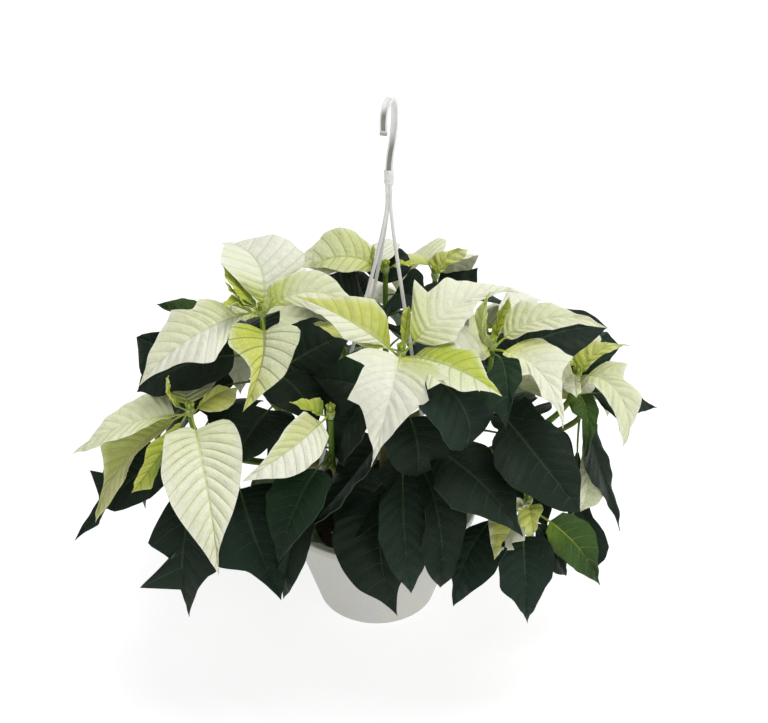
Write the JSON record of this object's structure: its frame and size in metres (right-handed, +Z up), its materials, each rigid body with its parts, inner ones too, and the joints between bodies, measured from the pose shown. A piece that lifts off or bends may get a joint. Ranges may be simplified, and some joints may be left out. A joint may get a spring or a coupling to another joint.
{
  "type": "potted white poinsettia",
  "caption": "White poinsettia with cream bracts and dark green leaves, in a round plastic hanging pot with a stranded hanger and hook.",
  "frame": {"origin": "middle of the pot's foot, on the surface that it stands on", "axes": "+Z up; -Y towards the viewer of the plant's front; +X to that viewer's right"},
  "size_m": [0.5594, 0.4552, 0.543],
  "materials": {
    "pot": "matte",
    "soil": "matte",
    "hanger": "satin",
    "leaf": "satin",
    "bract": "satin",
    "flower": "satin"
  },
  "bodies": {
    "root": {"pot": "pot", "soil": "soil", "hanger_hook": "hanger", "hanger_strand_1": "hanger", "hanger_strand_2": "hanger", "hanger_strand_3": "hanger", "leafy_stem_left": "leaf", "leafy_stem_right": "leaf", "leafy_stem_back": "leaf", "bracts_upper_left": "bract", "bracts_front": "bract", "bracts_upper_right": "bract", "bracts_left": "bract", "bracts_right": "bract", "bracts_front_low": "bract", "bracts_low_right": "bract", "bracts_side_right": "bract", "bracts_back_middle": "bract", "bracts_back_right": "bract", "bracts_back_left": "bract", "bracts_back": "bract", "bracts_back_far_right": "bract", "flowers_upper_left": "flower", "flowers_front": "flower", "flowers_upper_right": "flower", "flowers_left": "flower", "flowers_right": "flower", "flowers_front_low": "flower", "flowers_low_right": "flower", "flowers_side_right": "flower", "flowers_back_middle": "flower", "flowers_back_right": "flower", "flowers_back_left": "flower", "flowers_back": "flower", "flowers_back_far_right": "flower"}
  },
  "joints": []
}
